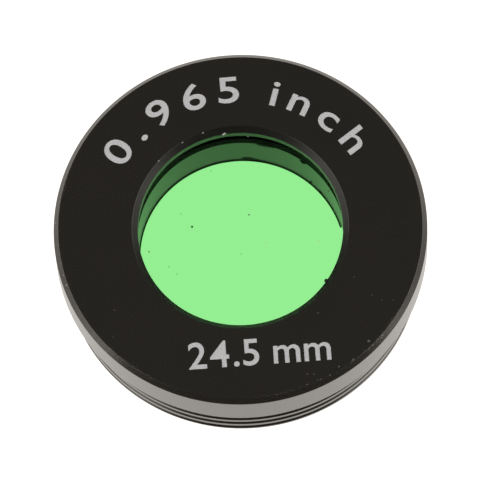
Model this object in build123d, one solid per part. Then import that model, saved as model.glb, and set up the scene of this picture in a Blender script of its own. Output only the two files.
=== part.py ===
from build123d import *
import os

# Nebula filter in a threaded cell, in millimetres.
# The optical axis is +Z. The engraved face looks up, and the end of the
# threaded stub lies on Z = 0, with the origin at its centre.
# The cell is one turned ring. The green glass drops in from behind against the
# lip round the front aperture, and a threaded sleeve holds it there.
# The helix of each thread is left out: a threaded length is a cylinder at the
# diameter of its crests.

# Threaded stub, which screws into the end of a 24.5 mm eyepiece barrel
thread_diameter = 23.0
thread_length = 3.9
stub_wall = 3.01
thread_end_chamfer = 0.4

# Head, whose shoulder stops the stub at the barrel's rim
shoulder_width = 0.5
head_thickness = 2.9
face_edge_chamfer = 0.3
shoulder_edge_chamfer = 0.1

# Relief groove between thread and shoulder, which also undercuts the shoulder
relief_width = 0.75
relief_depth = 0.5
undercut_height = 0.1
undercut_margin = 0.05

# Front aperture and the lip behind it, which the glass seats on
aperture_chamfer = 0.37
lip_thickness = 0.89

# Round glass, and how far the lip holds it all round
lip_overlap = 1.4
glass_thickness = 2.0
glass_edge_chamfer = 0.15
glass_clearance = 0.05
glass_proud = 0.2

# Inner thread behind the glass seat
seat_step = 0.45
inner_thread_chamfer = 0.3

# Retaining ring, with a thin lip left at the rear of its bore
ring_clearance = 0.05
ring_bore_step = 0.1
ring_recess = 0.57
ring_edge_chamfer = 0.12
ring_mouth_chamfer = 0.22
ring_lip_width = 0.07
ring_lip_height = 0.12

# Slot on each side of the ring for a pin spanner, turned from the X axis
slot_width = 1.2
slot_depth = 0.8
slot_azimuth = 8

# Radii that follow from the sizes above, from the head inwards
thread_radius = thread_diameter / 2
head_radius = thread_radius + shoulder_width
undercut_radius = thread_radius + undercut_margin
relief_radius = thread_radius - relief_depth
inner_thread_radius = thread_radius - stub_wall
ring_radius = inner_thread_radius - ring_clearance
seat_radius = inner_thread_radius - seat_step
glass_radius = seat_radius - glass_clearance
aperture_radius = glass_radius - lip_overlap
ring_bore_radius = aperture_radius + ring_bore_step
ring_lip_radius = ring_bore_radius - ring_lip_width

# Heights that follow, from the face down
face_height = thread_length + head_thickness
glass_top = face_height - lip_thickness
glass_bottom = glass_top - glass_thickness
seat_bottom = glass_bottom + glass_proud
relief_top = thread_length + undercut_height
relief_bottom = thread_length - relief_width
ring_lip_top = ring_recess + ring_lip_height


def turned(outline):
    """Solid that a lathe makes from an outline of (radius, height) corners."""
    corners = [(radius, 0, height) for radius, height in outline]
    return revolve(make_face(Polyline(*corners, close=True)), Axis.Z)


def break_edge(solid, radius, height, size):
    """Chamfer the round edge that has this radius and height."""
    rounds = solid.edges().filter_by(GeomType.CIRCLE)
    target = Vector(radius, 0, height)
    nearest = min(rounds, key=lambda edge: (Vector(edge.radius, 0, edge.center().Z) - target).length)
    return chamfer(nearest, size)


def make_filter_cell():
    """Head, relief groove and threaded stub, bored in three steps from behind."""
    cell = turned([
        (aperture_radius, face_height),
        (head_radius, face_height),
        (head_radius, thread_length),
        (undercut_radius, thread_length),
        (undercut_radius, relief_top),
        (relief_radius, relief_top),
        (relief_radius, relief_bottom),
        (thread_radius, relief_bottom),
        (thread_radius, 0),
        (inner_thread_radius, 0),
        (inner_thread_radius, seat_bottom),
        (seat_radius, seat_bottom),
        (seat_radius, glass_top),
        (aperture_radius, glass_top),
    ])
    cell = break_edge(cell, head_radius, face_height, face_edge_chamfer)
    cell = break_edge(cell, head_radius, thread_length, shoulder_edge_chamfer)
    cell = break_edge(cell, aperture_radius, face_height, aperture_chamfer)
    cell = break_edge(cell, thread_radius, 0, thread_end_chamfer)
    return break_edge(cell, inner_thread_radius, 0, inner_thread_chamfer)


def make_filter_glass():
    """Round plate with a ground bevel on both edges."""
    centre = Pos(0, 0, glass_bottom + glass_thickness / 2)
    glass = centre * Cylinder(glass_radius, glass_thickness)
    return chamfer(glass.edges().filter_by(GeomType.CIRCLE), glass_edge_chamfer)


def make_retaining_ring():
    """Threaded sleeve behind the glass, with two spanner slots in its rear face."""
    ring = turned([
        (ring_bore_radius, glass_bottom),
        (ring_radius, glass_bottom),
        (ring_radius, ring_recess),
        (ring_lip_radius, ring_recess),
        (ring_lip_radius, ring_lip_top),
        (ring_bore_radius, ring_lip_top),
    ])
    ring = break_edge(ring, ring_radius, glass_bottom, ring_edge_chamfer)
    ring = break_edge(ring, ring_radius, ring_recess, ring_edge_chamfer)
    ring = break_edge(ring, ring_bore_radius, glass_bottom, ring_mouth_chamfer)
    place = Pos(0, 0, ring_recess) * Rot(0, 0, slot_azimuth)
    slots = place * Box(2 * ring_radius, slot_width, 2 * slot_depth)
    return ring - slots


NODES = {
    "filter_cell": make_filter_cell,
    "filter_glass": make_filter_glass,
    "retaining_ring": make_retaining_ring,
}

os.makedirs("parts", exist_ok=True)
for name, make in NODES.items():
    export_step(make(), f"parts/{name}.step")
    print("wrote", name)
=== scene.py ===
# %% [markdown]
# # A nebula filter, dressed in Blender
# This lesson dresses a small eyepiece filter: a round green glass in a black
# turned cell, lying face up. The sizes and places of its three pieces come from
# the CAD frame. The lesson adds what the frame leaves out: cut threads, engraved
# size marks, finishes, a little dust, the light table it lies on, and a camera.

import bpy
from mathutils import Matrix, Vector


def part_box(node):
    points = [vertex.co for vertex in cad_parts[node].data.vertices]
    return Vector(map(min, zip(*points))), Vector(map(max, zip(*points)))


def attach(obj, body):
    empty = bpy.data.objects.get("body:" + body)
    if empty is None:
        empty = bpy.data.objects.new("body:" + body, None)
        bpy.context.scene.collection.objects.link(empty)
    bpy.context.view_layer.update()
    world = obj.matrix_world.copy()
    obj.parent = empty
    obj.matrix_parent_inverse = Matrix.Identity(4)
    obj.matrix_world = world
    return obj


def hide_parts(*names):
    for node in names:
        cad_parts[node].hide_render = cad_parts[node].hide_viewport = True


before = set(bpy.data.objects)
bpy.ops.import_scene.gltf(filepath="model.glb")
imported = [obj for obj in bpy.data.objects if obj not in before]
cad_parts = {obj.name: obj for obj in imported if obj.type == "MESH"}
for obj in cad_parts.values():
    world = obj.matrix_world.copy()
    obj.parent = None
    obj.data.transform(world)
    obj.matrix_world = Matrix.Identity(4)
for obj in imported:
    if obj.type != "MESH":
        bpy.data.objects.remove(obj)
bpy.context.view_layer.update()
print("CAD nodes:", sorted(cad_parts))

# %% [markdown]
# ## Sizes
# Every piece of this filter is round about the Z axis, so its outer radius and two
# heights say where it is. They are read from the frame, and the lesson can't
# drift away from the CAD. The other sizes, such as a chamfer or a wall, can't be
# read from a box. They are named in millimetres, and the radii and heights that
# follow from them are worked out, from the head inwards and from the face down.

# %% Measure the frame
import math

import bpy
from mathutils import Matrix, Vector

MM = 0.001


def round_sizes(node):
    """Outer radius, lowest height and highest height of a round node, in millimetres."""
    low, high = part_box(node)
    return [round(size / MM, 3) for size in (high.x, low.z, high.z)]


head_radius, end_height, face_height = round_sizes("filter_cell")
glass_radius, glass_bottom, glass_top = round_sizes("filter_glass")
sleeve_radius, sleeve_rear, sleeve_front = round_sizes("retaining_ring")
print("head radius", head_radius, "glass radius", glass_radius, "sleeve radius", sleeve_radius)

# %% Sizes of the head and the stub
head_thickness = 2.9
face_chamfer = 0.3
shoulder_chamfer = 0.1
shoulder_width = 0.5
undercut_margin = 0.05
undercut_height = 0.1
relief_width = 0.75
relief_depth = 0.5
stub_chamfer = 0.4

shoulder_height = face_height - head_thickness
thread_radius = head_radius - shoulder_width
undercut_radius = thread_radius + undercut_margin
relief_radius = thread_radius - relief_depth
relief_top = shoulder_height + undercut_height
relief_bottom = shoulder_height - relief_width
print("the thread runs from", end_height + stub_chamfer, "to", relief_bottom)

# %% Sizes of the bore, the glass seat and the sleeve
thread_clearance = 0.05
seat_clearance = 0.05
seat_depth = 0.2
lip_overlap = 1.4
aperture_chamfer = 0.37
inner_thread_chamfer = 0.3
glass_bevel = 0.15
sleeve_bore_step = 0.1
sleeve_chamfer = 0.12
sleeve_mouth_chamfer = 0.22
sleeve_lip_width = 0.07
sleeve_lip_height = 0.12
slot_width = 1.2
slot_depth = 0.8
slot_azimuth = math.radians(8)

inner_thread_radius = sleeve_radius + thread_clearance
seat_radius = glass_radius + seat_clearance
seat_bottom = glass_bottom + seat_depth
aperture_radius = glass_radius - lip_overlap
sleeve_bore_radius = aperture_radius + sleeve_bore_step
sleeve_lip_radius = sleeve_bore_radius - sleeve_lip_width
sleeve_lip_top = sleeve_rear + sleeve_lip_height
print("the aperture is", 2 * aperture_radius, "mm across")

# %% [markdown]
# ## A lathe made of operators
# The cell and the sleeve are turned on a lathe, and so is every edge on them. In
# Blender the lathe is Spin: it sweeps an outline round an axis. The outline could
# come from a curve and the Screw modifier, but a chain of extruded points keeps
# each corner where a drawing would give it. Spin needs a first point, so a small
# plane is merged into one. A turned edge is never perfectly sharp, so the corners
# of the outline are rounded before it is spun, which costs far fewer faces than
# bevelling the finished ring.

# %% Draw an outline and spin it
ROUND_STEPS = 256
WELD = 0.001 * MM
CORNER_STEPS = 2


def deselect_all():
    """Nothing is selected, so that the next operator acts on what it makes."""
    bpy.ops.object.select_all(action="DESELECT")


def select_only(piece):
    """The piece alone is selected and active."""
    deselect_all()
    piece.select_set(True)
    bpy.context.view_layer.objects.active = piece


def to_metres(corner):
    """A (radius, height) corner in millimetres, on the XZ plane."""
    radius, height = corner
    return Vector((radius, 0, height)) * MM


def draw_outline(name, corners, closed=True):
    """A new object in edit mode that holds one wire through the corners."""
    deselect_all()
    bpy.ops.mesh.primitive_plane_add(size=MM, location=(0, 0, 0))
    bpy.context.object.name = name
    bpy.ops.object.mode_set(mode="EDIT")
    bpy.ops.mesh.merge(type="CENTER")
    bpy.ops.transform.translate(value=to_metres(corners[0]))
    route = corners + corners[:1] if closed else corners
    for here, after in zip(route, route[1:]):
        step = to_metres(after) - to_metres(here)
        bpy.ops.mesh.extrude_vertices_move(TRANSFORM_OT_translate={"value": step})
    bpy.ops.mesh.select_all(action="SELECT")
    bpy.ops.mesh.remove_doubles(threshold=WELD)
    return bpy.context.object


def weld_and_turn_out():
    """Merge what lies on itself and point every face outwards, then leave edit mode."""
    bpy.ops.mesh.select_all(action="SELECT")
    bpy.ops.mesh.remove_doubles(threshold=WELD)
    bpy.ops.mesh.normals_make_consistent(inside=False)
    bpy.ops.object.mode_set(mode="OBJECT")


def turn(name, corners, edge_radius=0.0, closed=True):
    """A turned piece: the outline with its corners rounded, spun once round the Z axis."""
    piece = draw_outline(name, corners, closed)
    if edge_radius:
        bpy.ops.mesh.bevel(offset=edge_radius * MM, segments=CORNER_STEPS, affect="VERTICES")
        bpy.ops.mesh.select_all(action="SELECT")
    bpy.ops.mesh.spin(steps=ROUND_STEPS, angle=math.tau, center=(0, 0, 0), axis=(0, 0, 1))
    weld_and_turn_out()
    print(name, "has", len(piece.data.polygons), "faces after turning")
    return piece


# %% [markdown]
# ## The cell
# Head and threaded stub are one turned piece, bored in three steps from behind:
# the wide inner thread, the seat of the glass, and the aperture, which leaves a
# lip that the glass rests on. The outline below walks round that section once,
# starting at the front aperture.

# %% Turn the cell
TURNED_EDGE = 0.012

cell_corners = [
    (aperture_radius + aperture_chamfer, face_height),
    (head_radius - face_chamfer, face_height),
    (head_radius, face_height - face_chamfer),
    (head_radius, shoulder_height + shoulder_chamfer),
    (head_radius - shoulder_chamfer, shoulder_height),
    (undercut_radius, shoulder_height),
    (undercut_radius, relief_top),
    (relief_radius, relief_top),
    (relief_radius, relief_bottom),
    (thread_radius, relief_bottom),
    (thread_radius, end_height + stub_chamfer),
    (thread_radius - stub_chamfer, end_height),
    (inner_thread_radius + inner_thread_chamfer, end_height),
    (inner_thread_radius, end_height + inner_thread_chamfer),
    (inner_thread_radius, seat_bottom),
    (seat_radius, seat_bottom),
    (seat_radius, glass_top),
    (aperture_radius, glass_top),
    (aperture_radius, face_height - aperture_chamfer),
]
cell = turn("cell", cell_corners, TURNED_EDGE)

# %% [markdown]
# ## The glass
# The filter glass is a round plate with a ground bevel on both edges. Its outline is
# open and starts and ends on the axis, where the spin closes it.

# %% Turn the glass
glass_corners = [
    (0, glass_bottom),
    (glass_radius - glass_bevel, glass_bottom),
    (glass_radius, glass_bottom + glass_bevel),
    (glass_radius, glass_top - glass_bevel),
    (glass_radius - glass_bevel, glass_top),
    (0, glass_top),
]
glass = turn("glass", glass_corners, closed=False)

# %% [markdown]
# ## The retaining sleeve
# A threaded sleeve screws in behind the glass and holds it against the lip. Its
# smooth bore is the dark green wall that shows through the glass. A thin lip is
# left at the rear of the bore, and shows as a dark line at the foot of that wall.
# Its edges are rounder than the cell's, which softens that line.

# %% Turn the sleeve
SLEEVE_EDGE = 0.03

sleeve_corners = [
    (sleeve_bore_radius + sleeve_mouth_chamfer, sleeve_front),
    (sleeve_radius - sleeve_chamfer, sleeve_front),
    (sleeve_radius, sleeve_front - sleeve_chamfer),
    (sleeve_radius, sleeve_rear + sleeve_chamfer),
    (sleeve_radius - sleeve_chamfer, sleeve_rear),
    (sleeve_lip_radius, sleeve_rear),
    (sleeve_lip_radius, sleeve_lip_top),
    (sleeve_bore_radius, sleeve_lip_top),
    (sleeve_bore_radius, sleeve_front - sleeve_mouth_chamfer),
]
sleeve = turn("sleeve", sleeve_corners, SLEEVE_EDGE)

# %% [markdown]
# ## Materials
# Each finish is built from nodes on Object coordinates, which are metres in the
# frame, so a pattern's size is a real size. The helpers below keep the node code
# short: one makes a material with its shader ready, one makes a node and sets its
# values, and the others are sums and patterns that come up again and again.

# %% Node helpers
NOISE_DETAIL = 3.0
MIX_COLOUR_INPUTS = (6, 7)
MIX_COLOUR_OUTPUT = 2


def new_material(name, **sockets):
    """A node material and its shader, with plain values set on the shader's own sockets."""
    material = bpy.data.materials.new(name)
    material.use_nodes = True
    shader = material.node_tree.nodes["Principled BSDF"]
    for socket, value in sockets.items():
        shader.inputs[socket.replace("_", " ")].default_value = value
    return material, shader


def add_node(tree, kind, inputs=None, **settings):
    """One node. A value in inputs is a number or colour, or an output that is linked."""
    node = tree.nodes.new(kind)
    for name, value in settings.items():
        setattr(node, name, value)
    for socket, value in (inputs or {}).items():
        if isinstance(value, bpy.types.NodeSocket):
            tree.links.new(value, node.inputs[socket])
        else:
            node.inputs[socket].default_value = value
    return node


def object_place(tree):
    """The place on the piece, in metres."""
    return add_node(tree, "ShaderNodeTexCoord").outputs["Object"]


def noise(tree, place, size, detail=NOISE_DETAIL):
    """Cloudy noise whose blobs are about size millimetres across."""
    inputs = {"Vector": place, "Scale": 1 / (size * MM), "Detail": detail}
    return add_node(tree, "ShaderNodeTexNoise", inputs).outputs["Fac"]


def sum_of(tree, operation, first, second=0.0):
    """The result of one sum on numbers or outputs."""
    return add_node(tree, "ShaderNodeMath", {0: first, 1: second}, operation=operation).outputs["Value"]


def between(tree, factor, low, high, start=0.0, end=1.0):
    """A number that goes from low to high as the factor goes from start to end. Any may be an output."""
    inputs = {"Value": factor, "From Min": start, "From Max": end, "To Min": low, "To Max": high}
    return add_node(tree, "ShaderNodeMapRange", inputs).outputs["Result"]


def mixed(tree, factor, first, second):
    """A colour or output that goes from the first to the second as the factor goes from 0 to 1."""
    node = add_node(tree, "ShaderNodeMix", {"Factor": factor}, data_type="RGBA")
    for index, value in zip(MIX_COLOUR_INPUTS, (first, second)):
        if isinstance(value, bpy.types.NodeSocket):
            tree.links.new(value, node.inputs[index])
        else:
            node.inputs[index].default_value = (*value, 1)
    return node.outputs[MIX_COLOUR_OUTPUT]


def axis_radius(tree, place):
    """Distance from the filter's axis, in metres."""
    flat = add_node(tree, "ShaderNodeVectorMath", {0: place, 1: (1, 1, 0)}, operation="MULTIPLY")
    length = add_node(tree, "ShaderNodeVectorMath", {0: flat.outputs["Vector"]}, operation="LENGTH")
    return length.outputs["Value"]


# %% [markdown]
# ### Spots of dust and wear
# Where the photograph shows a speck, a pixel says where it is. A line from the
# camera through that pixel meets the surface there, so the camera comes first.
# The camera looks down on the face from the reader's side, turned a little. The
# height of the surface is known at once on the flat parts. On a chamfer it depends
# on the point that is looked for, so a few guesses, each from the last, find it.

# %% Camera
CAMERA_ELEVATION = math.radians(69.34)
CAMERA_ROLL = math.radians(-4.105)
CAMERA_DISTANCE = 480.0
CAMERA_AIM = (-0.0168, -0.8652)
CAMERA_LENS = 561.28
SENSOR_WIDTH = 36.0
FARTHEST_SEEN = 10000.0
PICTURE_SIZE = 480

back = Vector((0, -math.cos(CAMERA_ELEVATION), math.sin(CAMERA_ELEVATION)))
level_right = Vector((1, 0, 0))
level_up = back.cross(level_right)
right = level_right * math.cos(CAMERA_ROLL) + level_up * math.sin(CAMERA_ROLL)
up = level_up * math.cos(CAMERA_ROLL) - level_right * math.sin(CAMERA_ROLL)
face_centre = Vector((0, 0, face_height))
eye = face_centre + back * CAMERA_DISTANCE + right * CAMERA_AIM[0] + up * CAMERA_AIM[1]

deselect_all()
bpy.ops.object.camera_add(location=eye * MM)
camera = bpy.context.object
camera.rotation_mode = "QUATERNION"
camera.rotation_quaternion = Matrix((right, up, back)).transposed().to_quaternion()
camera.data.sensor_width = SENSOR_WIDTH
camera.data.lens = CAMERA_LENS
camera.data.clip_end = FARTHEST_SEEN * MM
bpy.context.scene.camera = camera
bpy.context.scene.view_settings.view_transform = "Standard"
print("the camera stands", CAMERA_DISTANCE, "mm from the face")


def seen_at(pixel, height):
    """The point in metres, on the plane at this height in millimetres, that a pixel shows."""
    pixel_size = SENSOR_WIDTH / CAMERA_LENS / PICTURE_SIZE
    across = (pixel[0] - PICTURE_SIZE / 2) * pixel_size
    above = (PICTURE_SIZE / 2 - pixel[1]) * pixel_size
    ray = right * across + up * above - back
    return (eye + ray * ((height - eye.z) / ray.z)) * MM


# %% Points that pixels show
GUESSES = 8


def on_glass(pixel):
    """The point of the glass that a pixel shows, in metres."""
    return seen_at(pixel, glass_top)


def on_face(pixel):
    """The point that a pixel shows on the face or on the chamfer at either of its edges, in metres."""
    point = seen_at(pixel, face_height)
    for _ in range(GUESSES):
        radius = math.hypot(point.x, point.y) / MM
        outer_drop = min(radius - (head_radius - face_chamfer), face_chamfer)
        inner_drop = min(aperture_radius + aperture_chamfer - radius, aperture_chamfer)
        point = seen_at(pixel, face_height - max(outer_drop, inner_drop, 0))
    return point


def on_bore(spot):
    """The point of the sleeve's bore, in metres, at an azimuth in degrees and a height in millimetres."""
    azimuth, height = spot
    a = math.radians(azimuth)
    return Vector((sleeve_bore_radius * math.cos(a), sleeve_bore_radius * math.sin(a), height)) * MM


# %% Ragged spots in a material
RAGGED_SIZE = 0.06
RAGGED_REACH = (0.3, 1.7)


def spots(tree, place, centres, sizes, flatness=1.0):
    """1 inside ragged spots and 0 elsewhere. Centres are in metres and sizes in millimetres."""
    ragged = between(tree, noise(tree, place, RAGGED_SIZE), *RAGGED_REACH)
    squash = (1, 1, flatness)
    squashed = add_node(tree, "ShaderNodeVectorMath", {0: place, 1: squash}, operation="MULTIPLY")
    inside = 0.0
    for centre, size in zip(centres, sizes):
        middle = centre * Vector(squash)
        inputs = {0: squashed.outputs["Vector"], 1: middle}
        away = add_node(tree, "ShaderNodeVectorMath", inputs, operation="DISTANCE")
        reach = sum_of(tree, "MULTIPLY", ragged, size / 2 * MM)
        spot = sum_of(tree, "LESS_THAN", away.outputs["Value"], reach)
        inside = sum_of(tree, "MAXIMUM", spot, inside)
    return inside


# %% [markdown]
# ### Black anodising
# Anodised aluminium is dyed in its oxide skin, so it looks like a thin clear layer
# over near black. Where it is polished it shines more than paint does, which a high
# index of refraction gives. The turning marks run round the part: on a face they
# change with the radius, and on a side with the height, so one slanted coordinate
# serves both. A fine grain on top is left by the etching bath.

# %% Black anodising
TOOL_MARK_PITCH = 0.06
TOOL_MARK_SLANT = 1.3
TOOL_MARK_SHARE = 0.2
GRAIN_SIZE = 0.05
GRAIN_DEPTH = 0.01
GRAIN_STRENGTH = 0.03
CLOUD_SIZE = 4.0
CLOUD_DETAIL = 2.0


def turned_grain(tree, place):
    """Turning marks and grain together, as one height."""
    split = add_node(tree, "ShaderNodeSeparateXYZ", {"Vector": place})
    slanted = sum_of(tree, "MULTIPLY", split.outputs["Z"], TOOL_MARK_SLANT)
    path = sum_of(tree, "ADD", axis_radius(tree, place), slanted)
    wave = sum_of(tree, "SINE", sum_of(tree, "MULTIPLY", path, math.tau / (TOOL_MARK_PITCH * MM)))
    marks = sum_of(tree, "MULTIPLY", wave, TOOL_MARK_SHARE)
    return sum_of(tree, "ADD", marks, noise(tree, place, GRAIN_SIZE))


def anodise(name, ior, tint, dye, dye_light):
    """Dyed oxide with turning marks and grain. Colour and roughness stay open for the caller."""
    material, shader = new_material(name, IOR=ior, Specular_Tint=(*tint, 1))
    tree = material.node_tree
    place = object_place(tree)
    colour = mixed(tree, noise(tree, place, CLOUD_SIZE, CLOUD_DETAIL), dye, dye_light)
    height = turned_grain(tree, place)
    bump_inputs = {"Height": height, "Strength": GRAIN_STRENGTH, "Distance": GRAIN_DEPTH * MM}
    bump = add_node(tree, "ShaderNodeBump", bump_inputs)
    tree.links.new(bump.outputs["Normal"], shader.inputs["Normal"])
    return material, shader, place, colour


# %% [markdown]
# ### Finish of the cell
# The photograph shows a few flecks of dust on the face, most of them low on the
# right, and brighter ones on its chamfer at the left. There are also tiny scuffs
# where the face meets that chamfer. Flecks are spots, each at its pixel and with
# its size in millimetres. Scuffs are the peaks of a fine noise, kept to a narrow
# band at the edge and to the patches of a wide noise, since handling wears
# unevenly.

# %% The cell's anodising
CELL_IOR = 1.9
CELL_TINT = (1.0, 0.985, 0.94)
CELL_DYES = ((0.013, 0.0115, 0.009), (0.018, 0.0155, 0.0125))
CELL_ROUGHNESS = (0.26, 0.29)

cell_black, cell_shader, cell_place, cell_colour = anodise("cell_anodise", CELL_IOR, CELL_TINT, *CELL_DYES)
cell_tree = cell_black.node_tree
cell_roughness = between(cell_tree, noise(cell_tree, cell_place, GRAIN_SIZE), *CELL_ROUGHNESS)
cell_tree.links.new(cell_roughness, cell_shader.inputs["Roughness"])
cell.data.materials.append(cell_black)
print(cell_black.name, "is on", cell.name)

# %% Scuffs at the edge of the face
SCUFF_BAND = (11.35, 11.68, 11.95)
SCUFF_SIZE = 0.07
SCUFF_DETAIL = 1.0
SCUFF_LIMIT = 0.82
SCUFF_GAIN = 0.2
PATCH_SIZE = 5.0
PATCH_RANGE = (0.4, 0.65)


def in_band(tree, radius, inner, peak, outer):
    """1 at the peak radius, falling to 0 at the inner and outer ones, in millimetres."""
    rise = between(tree, radius, 0.0, 1.0, inner * MM, peak * MM)
    fall = between(tree, radius, 1.0, 0.0, peak * MM, outer * MM)
    return sum_of(tree, "MULTIPLY", rise, fall)


wide = noise(cell_tree, cell_place, PATCH_SIZE, CLOUD_DETAIL)
patches = between(cell_tree, wide, 0.0, SCUFF_GAIN, *PATCH_RANGE)
edge_band = in_band(cell_tree, axis_radius(cell_tree, cell_place), *SCUFF_BAND)
scuff_reach = sum_of(cell_tree, "MULTIPLY", edge_band, patches)
scuff_limit = sum_of(cell_tree, "SUBTRACT", SCUFF_LIMIT, scuff_reach)
peaks = noise(cell_tree, cell_place, SCUFF_SIZE, SCUFF_DETAIL)
scuffs = sum_of(cell_tree, "GREATER_THAN", peaks, scuff_limit)
print("scuffs lie between", SCUFF_BAND[0], "and", SCUFF_BAND[-1], "mm from the axis")

# %% Flecks of dust on the face and its chamfer
DUST_COLOUR = (0.17, 0.16, 0.14)
FLECK_PIXELS = {
    (368.8, 341): 0.17, (373, 345): 0.12, (382.6, 335): 0.15, (381.5, 337.5): 0.1, (369, 349): 0.09,
    (353.5, 359.5): 0.14, (352, 361): 0.08, (339, 366.5): 0.1, (330, 375): 0.1, (320.5, 379): 0.08,
    (314, 374): 0.08, (307.5, 374): 0.08, (307, 384.5): 0.1, (317.5, 380): 0.07, (318, 313): 0.08,
    (354, 277): 0.07, (372, 295): 0.07, (382, 300): 0.06, (393, 300): 0.06, (114.5, 310): 0.08,
    (113, 337): 0.06, (86, 337): 0.07, (121.5, 360.5): 0.07, (64, 190.5): 0.07, (59.2, 231): 0.05,
}
BRIGHT_DUST = (0.4, 0.38, 0.36)
CHAMFER_PIXELS = {
    (55.4, 223): 0.07, (56.2, 229): 0.04, (60.3, 263.2): 0.05, (63.5, 275.3): 0.06, (66.3, 285.2): 0.1,
    (57.8, 245): 0.05,
}

flecks = spots(cell_tree, cell_place, map(on_face, FLECK_PIXELS), FLECK_PIXELS.values())
dusty = sum_of(cell_tree, "MAXIMUM", flecks, scuffs)
cell_colour = mixed(cell_tree, dusty, cell_colour, DUST_COLOUR)
bright = spots(cell_tree, cell_place, map(on_face, CHAMFER_PIXELS), CHAMFER_PIXELS.values())
cell_colour = mixed(cell_tree, bright, cell_colour, BRIGHT_DUST)
cell_tree.links.new(cell_colour, cell_shader.inputs["Base Color"])
print(len(FLECK_PIXELS) + len(CHAMFER_PIXELS), "flecks on the cell")

# %% [markdown]
# ### Finish of the aperture
# Inside the aperture a boring tool has left a rougher skin, which takes the dye
# deeper and shines less. A second finish goes on the faces there. In vertex mode
# a face counts as selected when all its corners are, so selecting the corners by
# their place is enough.

# %% The aperture's anodising
BORE_IOR = 1.65
BORE_DYES = ((0.012, 0.0115, 0.01), (0.016, 0.0155, 0.013))
BORE_ROUGHNESS = (0.36, 0.44)

bore_black, bore_shader, bore_place, bore_colour = anodise("bore_anodise", BORE_IOR, CELL_TINT, *BORE_DYES)
bore_tree = bore_black.node_tree
bore_tree.links.new(bore_colour, bore_shader.inputs["Base Color"])
bore_roughness = between(bore_tree, noise(bore_tree, bore_place, GRAIN_SIZE), *BORE_ROUGHNESS)
bore_tree.links.new(bore_roughness, bore_shader.inputs["Roughness"])
cell.data.materials.append(bore_black)

# %% Put it on the faces of the aperture
bore_limit = (aperture_radius + aperture_chamfer) * MM
select_only(cell)
bpy.ops.object.mode_set(mode="EDIT")
bpy.ops.mesh.select_all(action="DESELECT")
bpy.ops.object.mode_set(mode="OBJECT")
for corner in cell.data.vertices:
    radius = math.hypot(corner.co.x, corner.co.y)
    corner.select = radius < bore_limit and corner.co.z > glass_top * MM
bpy.ops.object.mode_set(mode="EDIT")
cell.active_material_index = cell.data.materials.find(bore_black.name)
bpy.ops.object.material_slot_assign()
bpy.ops.object.mode_set(mode="OBJECT")
print(sum(face.material_index for face in cell.data.polygons), "faces in the aperture")

# %% [markdown]
# ### Finish of the sleeve
# Its bore has a few matt smudges of dirt, mostly at its two ends. They are placed
# by their azimuth in degrees and their height on the bore, and have their size in
# millimetres.

# %% The sleeve's anodising
SLEEVE_IOR = 1.5
SLEEVE_TINT = (1, 1, 1)
SLEEVE_DYES = ((0.009, 0.009, 0.009), (0.012, 0.012, 0.012))
SLEEVE_ROUGHNESS = (0.24, 0.34)
DIRT_ROUGHNESS = 0.9
DIRT_COLOUR = (0.006, 0.007, 0.006)
SMUDGE_FLATNESS = 1.7
SMUDGES = {
    (83, 0.95): 0.9, (79, 0.8): 0.8, (75, 0.75): 0.5, (74, 3.62): 0.8, (70, 3.66): 0.6, (50, 3.5): 0.5,
    (36, 1.0): 0.35,
}

sleeve_black, sleeve_shader, sleeve_place, sleeve_colour = anodise(
    "sleeve_anodise", SLEEVE_IOR, SLEEVE_TINT, *SLEEVE_DYES
)
sleeve_tree = sleeve_black.node_tree
dirty = spots(sleeve_tree, sleeve_place, map(on_bore, SMUDGES), SMUDGES.values(), SMUDGE_FLATNESS)
sleeve_colour = mixed(sleeve_tree, dirty, sleeve_colour, DIRT_COLOUR)
sleeve_tree.links.new(sleeve_colour, sleeve_shader.inputs["Base Color"])
clean_roughness = between(sleeve_tree, noise(sleeve_tree, sleeve_place, GRAIN_SIZE), *SLEEVE_ROUGHNESS)
sleeve_roughness = between(sleeve_tree, dirty, clean_roughness, DIRT_ROUGHNESS)
sleeve_tree.links.new(sleeve_roughness, sleeve_shader.inputs["Roughness"])
sleeve.data.materials.append(sleeve_black)
print(len(SMUDGES), "smudges on the bore of the sleeve")

# %% [markdown]
# ### Green filter glass
# The glass passes green and holds back red and violet. Light goes in and out
# through two faces, and each face tints it by the root of the base colour, so the
# base colour is what the whole plate lets through. The coating tints what the faces
# mirror. They are polished, and the edge is ground, so it is matt.

# %% Green glass
GLASS_TINT = (0.245, 0.745, 0.26, 1)
GLASS_IOR = 1.5
COATING_TINT = (0.9, 1.0, 0.92, 1)
GROUND_ROUGHNESS = 0.5
POLISH_MARGIN = 0.02

green_glass, glass_shader = new_material(
    "green_glass", Base_Color=GLASS_TINT, IOR=GLASS_IOR, Transmission_Weight=1.0, Specular_Tint=COATING_TINT
)
glass_tree = green_glass.node_tree
polished_radius = (glass_radius - glass_bevel) * MM
glass_rim = axis_radius(glass_tree, object_place(glass_tree))
margin = POLISH_MARGIN * MM
ground = between(glass_tree, glass_rim, 0.0, GROUND_ROUGHNESS, polished_radius, polished_radius + margin)
glass_tree.links.new(ground, glass_shader.inputs["Roughness"])
glass.data.materials.append(green_glass)
print("the glass is polished out to", glass_radius - glass_bevel, "mm from the axis")

# %% [markdown]
# ### Laser mark
# Bare aluminium that a laser has crossed in fine lines is pale and matt.

# %% Laser mark
HATCH_PITCH = 0.05
HATCH_STRENGTH = 0.3
MARK_ROUGHNESS = 0.6
MARK_COLOURS = ((0.7, 0.71, 0.73), (0.96, 0.97, 1.0))

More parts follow.
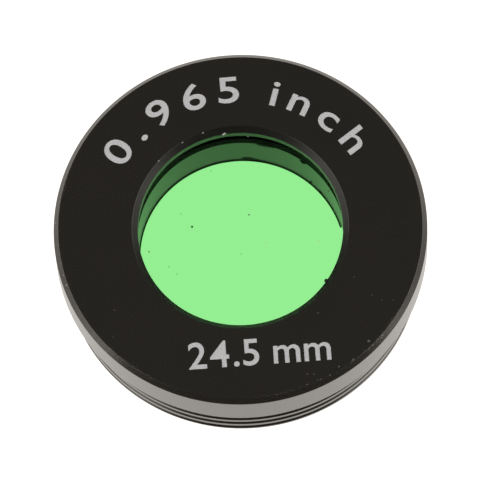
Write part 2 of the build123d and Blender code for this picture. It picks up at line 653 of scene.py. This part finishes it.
laser_mark, mark_shader = new_material("laser_mark", Roughness=MARK_ROUGHNESS)
mark_tree = laser_mark.node_tree
mark_place = object_place(mark_tree)
burn = noise(mark_tree, mark_place, GRAIN_SIZE)
mark_colour = mixed(mark_tree, burn, *MARK_COLOURS)
mark_tree.links.new(mark_colour, mark_shader.inputs["Base Color"])
along = add_node(mark_tree, "ShaderNodeSeparateXYZ", {"Vector": mark_place}).outputs["Y"]
lines = sum_of(mark_tree, "SINE", sum_of(mark_tree, "MULTIPLY", along, math.tau / (HATCH_PITCH * MM)))
hatch_inputs = {"Height": lines, "Strength": HATCH_STRENGTH, "Distance": GRAIN_DEPTH * MM}
hatch = add_node(mark_tree, "ShaderNodeBump", hatch_inputs)
mark_tree.links.new(hatch.outputs["Normal"], mark_shader.inputs["Normal"])
print("the laser's lines are", HATCH_PITCH, "mm apart")

# %% [markdown]
# ## Cutting tools
# What a lathe can't turn is cut with tools, as in the workshop: a shape is made
# where the cutter goes, and the Boolean modifier takes it out of the piece. A tool
# may bring a finish of its own, which the cut faces then keep.

# %% Cut with a tool


def cut(piece, tool, keep_finish=False):
    """Take the tool's shape out of the piece, and delete the tool."""
    boolean = piece.modifiers.new("Cut", "BOOLEAN")
    boolean.operation = "DIFFERENCE"
    boolean.solver = "EXACT"
    boolean.object = tool
    boolean.material_mode = "TRANSFER" if keep_finish else "INDEX"
    boolean.use_self = keep_finish
    select_only(piece)
    bpy.ops.object.modifier_apply(modifier=boolean.name)
    bpy.data.objects.remove(tool)
    print(piece.name, "has", len(piece.data.polygons), "faces after the cut")


# %% [markdown]
# ### Spanner slots
# Two slots across the sleeve's rear face take a pin spanner. They are milled
# through both walls at once, so one long box is the cutter. It lies a little off
# the X axis, because a thread stops the sleeve at whatever angle it is tight.

# %% Mill the spanner slots
cutter_length = 4 * sleeve_radius
cutter_height = 2 * slot_depth

deselect_all()
bpy.ops.mesh.primitive_cube_add(
    size=MM,
    location=(0, 0, sleeve_rear * MM),
    rotation=(0, 0, slot_azimuth),
    scale=(cutter_length, slot_width, cutter_height),
)
cut(sleeve, bpy.context.object)

# %% [markdown]
# ### Engraved size marks
# The face carries the size of the barrel that the filter fits, in inches along the
# top and in millimetres below. A laser burns the black off the metal and leaves a
# shallow pale pocket. Each character is a text object made a mesh. The characters
# are set out by their own widths and joined into one cutter, which is quicker than
# one cut for each. The marks come before the threads, while the cell has few faces.

# %% Set out characters along a line or an arc
MARK_DEPTH = 0.03
MARK_HEIGHT = 1.85
MARK_BOLDNESS = 0.03
CAP_SHARE = 0.73
CURVE_STEPS = 6
WORD_SPACE = 0.4


def character_mesh(character, stretch):
    """One character as a closed mesh, extruded both ways, with its foot at the origin."""
    deselect_all()
    bpy.ops.object.text_add(location=(0, 0, 0))
    text = bpy.context.object
    text.data.body = character
    text.data.align_x = "CENTER"
    text.data.size = MARK_HEIGHT / CAP_SHARE * MM
    text.data.offset = MARK_BOLDNESS * MM
    text.data.extrude = MARK_DEPTH * MM
    text.data.resolution_u = CURVE_STEPS
    bpy.ops.object.convert(target="MESH")
    bpy.ops.transform.resize(value=(stretch, 1, 1))
    bpy.ops.object.transform_apply(location=True, rotation=True, scale=True)
    bpy.ops.object.mode_set(mode="EDIT")
    weld_and_turn_out()
    return bpy.context.object


def set_out(text, length, stretch):
    """Each character's mesh with its distance from the middle of a line of this length."""
    meshes = [None if character == " " else character_mesh(character, stretch) for character in text]
    widths = [mesh.dimensions.x / MM if mesh else WORD_SPACE for mesh in meshes]
    gap = (length - sum(widths)) / (len(widths) - 1)
    middles = [
        sum(widths[:index]) + gap * index + (width - length) / 2
        for index, width in enumerate(widths)
    ]
    return [(mesh, middle) for mesh, middle in zip(meshes, middles) if mesh]


def place_mark(mesh, x, y, angle):
    """Put a character on the face, turned about its foot."""
    mesh.location = Vector((x, y, face_height)) * MM
    mesh.rotation_euler.z = angle
    select_only(mesh)
    bpy.ops.object.transform_apply(location=True, rotation=True, scale=True)
    return mesh


def arc_mark(text, radius, middle_angle, length, stretch):
    """Characters along an arc, with their feet towards the centre."""
    marks = []
    for mesh, along in set_out(text, length, stretch):
        angle = middle_angle - along / radius
        x, y = radius * math.cos(angle), radius * math.sin(angle)
        marks.append(place_mark(mesh, x, y, angle - math.pi / 2))
    return marks


def line_mark(text, middle, foot, length, stretch):
    """Characters along a straight line."""
    return [place_mark(mesh, middle + along, foot, 0) for mesh, along in set_out(text, length, stretch)]


# %% Engrave the marks
TOP_RADIUS = 8.6
TOP_MIDDLE = math.radians(89)
TOP_LENGTH = 17.6
TOP_STRETCH = 1.3
BOTTOM_MIDDLE = 0.65
BOTTOM_FOOT = -9.45
BOTTOM_LENGTH = 9.1
BOTTOM_STRETCH = 1.0

characters = arc_mark("0.965 inch", TOP_RADIUS, TOP_MIDDLE, TOP_LENGTH, TOP_STRETCH)
characters += line_mark("24.5 mm", BOTTOM_MIDDLE, BOTTOM_FOOT, BOTTOM_LENGTH, BOTTOM_STRETCH)
select_only(characters[0])
for character in characters:
    character.select_set(True)
bpy.ops.object.join()
mark_tool = bpy.context.object
mark_tool.data.materials.append(laser_mark)
cut(cell, mark_tool, keep_finish=True)

# %% [markdown]
# ### Threads
# A thread is a groove that climbs as it goes round. A lathe cuts it with a
# pointed tool that is fed along the turning work, and the script does the same:
# the tool's tip is an outline, the Screw modifier drives it up a helix, and the
# Boolean modifier takes its path out of the piece. Bumps in a material would be
# quicker, but the steps of the thread show in the filter's silhouette.
# The thread is right-handed, so it climbs as it turns from +X to +Y. Both ends of
# the path lie in free space: below the stub, and in the relief groove that lets
# the real tool run out. The path is turned by half a step, so that none of its
# corners falls on a corner of the piece, which keeps the cut clean.
# The photograph shows how high a groove of the outer thread is at the front. The
# tool starts on the X axis, a turn and three quarters before it gets there.

# %% Drive a tool up a helix
FLANK_ANGLE = math.radians(30)
ROOT_FLAT = 0.04
TOOL_OVERSHOOT = 0.2
HALF_STEP = math.pi / ROUND_STEPS


def thread_tool(crest_radius, depth, side, height, pitch, turns):
    """The path of a threading tool. side is 1 where it cuts inwards and -1 where it cuts outwards."""
    root = crest_radius - side * depth
    mouth = crest_radius + side * TOOL_OVERSHOOT
    root_half = ROOT_FLAT / 2
    mouth_half = root_half + (depth + TOOL_OVERSHOOT) * math.tan(FLANK_ANGLE)
    tip = [
        (root, height - root_half),
        (mouth, height - mouth_half),
        (mouth, height + mouth_half),
        (root, height + root_half),
    ]
    tool = draw_outline("thread_tool", tip)
    bpy.ops.object.mode_set(mode="OBJECT")
    screw = tool.modifiers.new("Feed", "SCREW")
    screw.angle = math.tau * turns
    screw.screw_offset = pitch * turns * MM
    screw.steps = screw.render_steps = round(ROUND_STEPS * turns)
    select_only(tool)
    bpy.ops.object.modifier_apply(modifier=screw.name)
    tool.rotation_euler.z = HALF_STEP
    bpy.ops.object.transform_apply(location=True, rotation=True, scale=True)
    bpy.ops.object.mode_set(mode="EDIT")
    bpy.ops.mesh.select_all(action="SELECT")
    bpy.ops.mesh.fill_holes(sides=len(tip))
    weld_and_turn_out()
    return tool


# %% Cut the outer thread
OUTER_PITCH = 0.75
OUTER_DEPTH = 0.36
OUTER_TURNS = 5.25
GROOVE_AT_FRONT = 0.78
TURNS_TO_FRONT = 1.75

outer_start = GROOVE_AT_FRONT - TURNS_TO_FRONT * OUTER_PITCH
cut(cell, thread_tool(thread_radius, OUTER_DEPTH, 1, outer_start, OUTER_PITCH, OUTER_TURNS))

# %% Cut the inner thread and the sleeve's thread
INNER_PITCH = 0.5
INNER_DEPTH = 0.24

inner_turns = math.ceil((seat_bottom - end_height) / INNER_PITCH)
cut(cell, thread_tool(inner_thread_radius, INNER_DEPTH, -1, -INNER_PITCH, INNER_PITCH, inner_turns))

sleeve_turns = math.ceil((sleeve_front - sleeve_rear) / INNER_PITCH) + 1
sleeve_start = sleeve_rear - INNER_PITCH
cut(sleeve, thread_tool(sleeve_radius, INNER_DEPTH, 1, sleeve_start, INNER_PITCH, sleeve_turns))

# %% [markdown]
# ## Dust, lint and painted glints
# Grains of dust lie on the glass, and darker ones stick to the sleeve's bore.
# Pale grains along the edge of the aperture are painted glints, set where that edge
# shines. Each is a small sphere, roughened at random from a fixed seed, flattened,
# and set on what carries it, with its flat side turned to the surface. Grains of one
# colour at one place are one piece.

# %% Scatter grains
GRAIN_SUBDIVISIONS = 2
GRAIN_FLATNESS = 0.5
GRAIN_RAGGEDNESS = 0.25
GRAIN_ROUGHNESS = 0.9


def grain(seed, place, outwards, size):
    """One ragged grain that rests on a place, which is in metres. Its size is in millimetres."""
    deselect_all()
    bpy.ops.mesh.primitive_ico_sphere_add(
        subdivisions=GRAIN_SUBDIVISIONS, radius=size / 2 * MM, location=(0, 0, 0)
    )
    bpy.ops.object.mode_set(mode="EDIT")
    bpy.ops.transform.vertex_random(offset=size * GRAIN_RAGGEDNESS * MM, seed=seed)
    bpy.ops.transform.resize(value=(1, 1, GRAIN_FLATNESS), center_override=(0, 0, 0))
    bpy.ops.transform.translate(value=(0, 0, size * GRAIN_FLATNESS / 2 * MM))
    bpy.ops.object.mode_set(mode="OBJECT")
    piece = bpy.context.object
    piece.location = place
    piece.rotation_euler = outwards.to_track_quat("Z", "Y").to_euler()
    bpy.ops.object.transform_apply(location=True, rotation=True, scale=True)
    return piece


def upwards(place):
    """Away from a level surface."""
    return Vector((0, 0, 1))


def inwards(place):
    """Away from the wall of a bore."""
    return Vector((-place.x, -place.y, 0))


def scatter(name, sizes, find_place, find_outwards, colour):
    """A piece of grains. Each key of sizes gives find_place what it needs to say where a grain sits."""
    grains = []
    for seed, (key, size) in enumerate(sizes.items()):
        place = find_place(key)
        grains.append(grain(seed, place, find_outwards(place), size))
    select_only(grains[0])
    for piece in grains:
        piece.select_set(True)
    if len(grains) > 1:
        bpy.ops.object.join()
    dust = bpy.context.object
    dust.name = name
    material, _ = new_material(name, Base_Color=(*colour, 1), Roughness=GRAIN_ROUGHNESS)
    dust.data.materials.append(material)
    print(name, "has", len(grains), "grains")
    return dust


# %% Dust and lint on the glass, painted glints and grit round it, and dirt on the bore
DUST_DARK = (0.02, 0.025, 0.02)
DIRT_DARK = (0.01, 0.012, 0.01)
GRIT_DARK = (0.02, 0.02, 0.02)
GLASS_LINT_PALE = (0.8, 0.8, 0.75)
# The next colour is for pale grains that paint the glints along the edge of the aperture.
EDGE_GLINT_PALE = (0.7, 0.7, 0.68)
GLASS_DUST = {
    (192, 227): 0.13, (249, 215): 0.09, (149, 252): 0.09, (241, 254): 0.06, (169, 267): 0.07,
    (177, 274): 0.06, (181, 214): 0.06, (211, 171): 0.06,
}
GLASS_LINT = {(266, 243): 0.06, (318.5, 241): 0.06}
# Pixels where the edge of the aperture glints; pale grains set there are painted glints.
EDGE_GLINT_SPOTS = {
    (223.2, 134.6): 0.13, (224.8, 133.8): 0.13, (203, 133): 0.1, (182.5, 142.6): 0.08, (158.7, 161): 0.08,
    (248, 136.5): 0.06,
}
EDGE_GRIT = {(326.2, 281.2): 0.24}
BORE_DIRT = {
    (50.6, 3.6): 0.16, (49.4, 3.58): 0.2, (48.2, 3.62): 0.14, (44.4, 0.95): 0.16, (36.6, 0.8): 0.14,
    (28.9, 2.84): 0.07,
}

glass_dust = scatter("glass_dust", GLASS_DUST, on_glass, upwards, DUST_DARK)
glass_lint = scatter("glass_lint", GLASS_LINT, on_glass, upwards, GLASS_LINT_PALE)
# The pale grains along the edge of the aperture are painted glints.
edge_glints = scatter("edge_glints", EDGE_GLINT_SPOTS, on_face, upwards, EDGE_GLINT_PALE)
edge_grit = scatter("edge_grit", EDGE_GRIT, on_face, upwards, GRIT_DARK)
bore_dirt = scatter("bore_dirt", BORE_DIRT, on_bore, inwards, DIRT_DARK)

# %% [markdown]
# ## Shading
# Round faces should shade smoothly, while a flat face beside a rounded corner has
# to stay flat. So only the small steps of the spin are smoothed. Each facet of a
# rounded corner turns further than that and keeps its own shading, which at a
# hundredth of a millimetre can't be seen.

# %% Smooth the round faces
SHARP_ANGLE = math.radians(8)

for piece in (cell, glass, sleeve):
    select_only(piece)
    bpy.ops.object.shade_smooth_by_angle(angle=SHARP_ANGLE)
    print(piece.name, "is smooth up to", round(math.degrees(SHARP_ANGLE)), "degrees")

# %% Tie the pieces to the frame
for piece, node, slot in (
    (cell, "filter_cell", "cell_anodise"),
    (glass, "filter_glass", "green_glass"),
    (sleeve, "retaining_ring", "ring_anodise"),
):
    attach(piece, "root")
    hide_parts(node)
for piece in (glass_dust, glass_lint, edge_glints, edge_grit, bore_dirt):
    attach(piece, "root")
print("every piece rides on the root body")

# %% [markdown]
# ## Light table and lamps
# The filter lies on a plain pale sheet lit from below, which shines up through the
# glass and is mirrored in the polished black edges. Two wide softboxes at the sides
# light the marks and draw soft edges on the black. The left one is lower and a
# little stronger. The room is dim, so the flat face stays black. The sheet and the
# softboxes are so large that their sizes and distances are in metres.

# %% Light table
FLOOR_SIZE = 4.0
FLOOR_LIGHT = 1.25
FLOOR_COLOUR = (1.048, 1.0, 0.952, 1)

deselect_all()
bpy.ops.mesh.primitive_plane_add(size=FLOOR_SIZE, location=(0, 0, 0))
floor = bpy.context.object
floor.name = "light_table"
floor_light, _ = new_material(
    "floor_light",
    Base_Color=(0, 0, 0, 1),
    Specular_IOR_Level=0.0,
    Emission_Color=FLOOR_COLOUR,
    Emission_Strength=FLOOR_LIGHT,
)
floor.data.materials.append(floor_light)
print("the sheet is", FLOOR_SIZE, "m wide")

# %% Softboxes
SOFTBOX_DISTANCE = 0.45
SOFTBOX_SIZE = 0.5
SOFTBOX_COLOUR = (1.03, 0.99, 0.96)
SOFTBOXES = {"softbox_right": (0, 40, 1.15), "softbox_left": (180, 38, 1.2)}


def softbox(name, azimuth, elevation, power):
    """A square area light that faces the filter. Angles are in degrees and the power is in watts."""
    a, e = math.radians(azimuth), math.radians(elevation)
    away = Vector((math.cos(a) * math.cos(e), math.sin(a) * math.cos(e), math.sin(e)))
    deselect_all()
    bpy.ops.object.light_add(type="AREA", location=away * SOFTBOX_DISTANCE)
    light = bpy.context.object
    light.name = name
    light.data.size = SOFTBOX_SIZE
    light.data.energy = power
    light.data.color = SOFTBOX_COLOUR
    light.rotation_euler = away.to_track_quat("Z", "Y").to_euler()
    light.visible_camera = False


for name, (azimuth, elevation, power) in SOFTBOXES.items():
    softbox(name, azimuth, elevation, power)
    print(name, "is", elevation, "degrees above the horizon")

# %% The dim room, a little lighter overhead
ROOM_COLOUR = (1.04, 1.0, 0.92, 1)
ROOM_LIGHT_LOW = 0.005
ROOM_LIGHT_HIGH = 0.055

world = bpy.data.worlds.new("dim_room")
world.use_nodes = True
room = world.node_tree
backdrop = room.nodes["Background"]
backdrop.inputs["Color"].default_value = ROOM_COLOUR
direction = add_node(room, "ShaderNodeSeparateXYZ", {"Vector": object_place(room)})
room_light = between(room, direction.outputs["Z"], ROOM_LIGHT_LOW, ROOM_LIGHT_HIGH)
room.links.new(room_light, backdrop.inputs["Strength"])
bpy.context.scene.world = world
print("the room's light is", ROOM_LIGHT_HIGH, "overhead")
